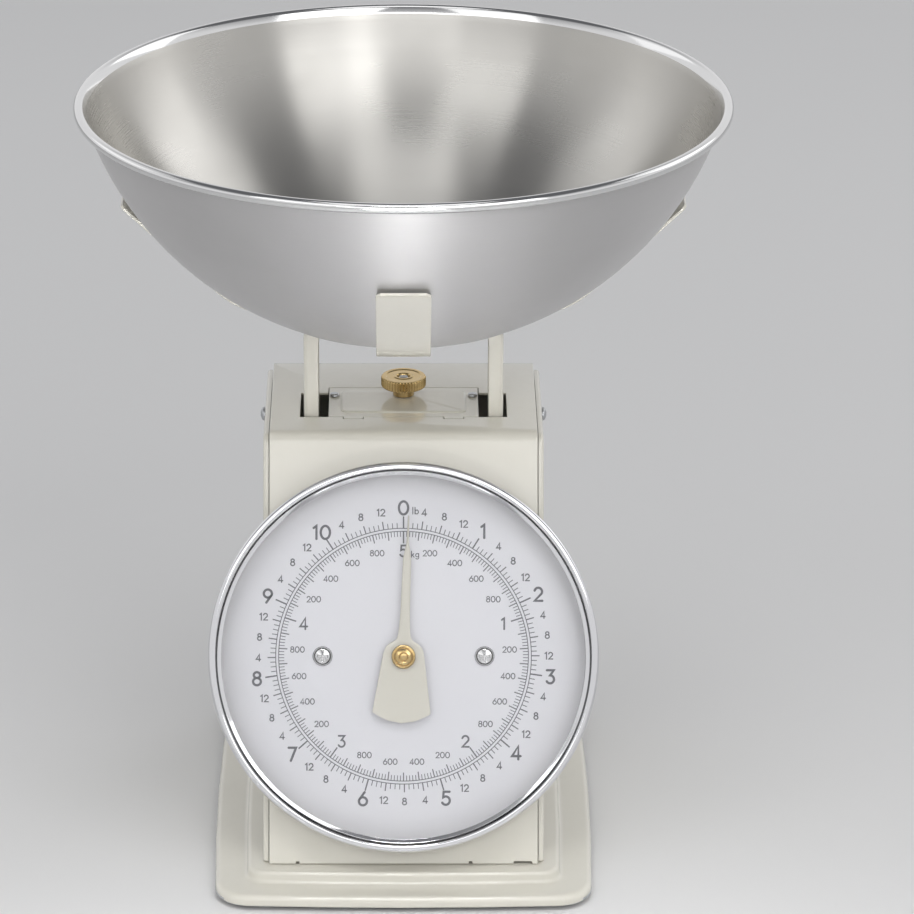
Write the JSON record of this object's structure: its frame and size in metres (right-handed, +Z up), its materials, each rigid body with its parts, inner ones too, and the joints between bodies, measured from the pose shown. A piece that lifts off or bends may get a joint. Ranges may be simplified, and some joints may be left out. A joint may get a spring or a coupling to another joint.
{
  "type": "kitchen scale",
  "caption": "Mechanical kitchen scale: round dial on a sloping sheet-steel housing, and a round steel bowl on a sprung cross-shaped platform.",
  "frame": {"origin": "on the table, under the bowl's centre line", "axes": "+Z up, the dial faces -Y, +X to the right of someone who reads the dial"},
  "size_m": [0.24, 0.24, 0.2769],
  "materials": {
    "cream_enamel": "stove enamel, satin gloss",
    "bowl_steel": "stainless, satin outside, polished inside and at the rim",
    "bezel_chrome": "bright plated",
    "brass": "turned and knurled",
    "zinc_steel": "zinc plated",
    "spring_steel": "drawn wire",
    "dial_white": "white lacquer with grey print",
    "lens_clear": "clear",
    "foot_rubber": "matt"
  },
  "bodies": {
    "housing": {"base_pan": "cream_enamel", "bottom_plate": "zinc_steel", "foot_front_left": "foot_rubber", "foot_front_right": "foot_rubber", "foot_rear_left": "foot_rubber", "foot_rear_right": "foot_rubber", "housing_wrap": "cream_enamel", "side_cover_left": "cream_enamel", "side_cover_right": "cream_enamel", "side_screw_upper_left": "zinc_steel", "side_screw_upper_right": "zinc_steel", "side_screw_lower_left": "zinc_steel", "side_screw_lower_right": "zinc_steel", "top_insert": "cream_enamel", "insert_rivet_left": "cream_enamel", "insert_rivet_right": "cream_enamel", "dial_pan": "cream_enamel", "dial_plate": "dial_white", "dial_screw_left": "zinc_steel", "dial_screw_right": "zinc_steel", "bezel": "bezel_chrome", "lens": "lens_clear", "rack_guide": "brass", "front_bush": "brass", "rear_bush": "brass", "movement_bracket": "zinc_steel", "pivot_bracket": "zinc_steel", "upper_pivot_rod": "zinc_steel", "lower_pivot_rod": "zinc_steel", "spring_left": "spring_steel", "spring_right": "spring_steel"},
    "platform": {"platform_frame": "cream_enamel", "cradle": "cream_enamel", "cradle_rivet_left": "zinc_steel", "cradle_rivet_right": "zinc_steel", "crossbar": "zinc_steel", "upper_link_rod": "zinc_steel", "lower_link_rod": "zinc_steel"},
    "bowl": {"bowl": "bowl_steel"},
    "rack": {"rack": "brass"},
    "pointer": {"pointer": "cream_enamel", "pointer_nut": "brass", "pointer_shaft": "zinc_steel", "pinion": "brass"},
    "upper_lever": {"upper_lever": "zinc_steel"},
    "lower_lever": {"lower_lever": "zinc_steel"},
    "zero_stud": {"zero_stud": "zinc_steel", "spring_hanger": "zinc_steel"},
    "zero_knob": {"zero_knob": "brass"}
  },
  "joints": [
    {"name": "platform_press", "type": "slide", "parent": "housing", "child": "platform", "axis": [0, 0, -1], "range_m": [0, 0.0145], "stiffness_N_per_m": 3380, "springref_m": -0.0019, "deforming": ["spring_left", "spring_right"]},
    {"name": "bowl_lift", "type": "slide", "parent": "platform", "child": "bowl", "axis": [0, 0, 1], "range_m": [0, 0.06]},
    {"name": "rack_slide", "type": "slide", "parent": "housing", "child": "rack", "axis": [0, -0.3746, -0.9272], "range_m": [0, 0.0157]},
    {"name": "pointer_turn", "type": "hinge", "parent": "housing", "child": "pointer", "pos_m": [0, -0.059, 0.0811], "axis": [0, 0.9272, -0.3746], "range_deg": [0, 360]},
    {"name": "upper_lever_turn", "type": "hinge", "parent": "housing", "child": "upper_lever", "pos_m": [0, 0.038, 0.11475], "axis": [1, 0, 0], "range_deg": [0, 22]},
    {"name": "lower_lever_turn", "type": "hinge", "parent": "housing", "child": "lower_lever", "pos_m": [0, 0.038, 0.05475], "axis": [1, 0, 0], "range_deg": [0, 22]},
    {"name": "zero_stud_lift", "type": "slide", "parent": "housing", "child": "zero_stud", "axis": [0, 0, 1], "range_m": [-0.0007, 0.0007]},
    {"name": "zero_knob_turn", "type": "hinge", "parent": "housing", "child": "zero_knob", "pos_m": [0, 0.0093, 0.161], "axis": [0, 0, 1], "range_deg": [-362, 362]}
  ],
  "couplings": [
    {"joint": "rack_slide", "follows": "platform_press", "ratio": 1.0785},
    {"joint": "pointer_turn", "follows": "platform_press", "rad_per_m": 431.41},
    {"joint": "upper_lever_turn", "follows": "platform_press", "rad_per_m": 26.316},
    {"joint": "lower_lever_turn", "follows": "platform_press", "rad_per_m": 26.316},
    {"joint": "zero_knob_turn", "follows": "zero_stud_lift", "rad_per_m": -8976}
  ]
}
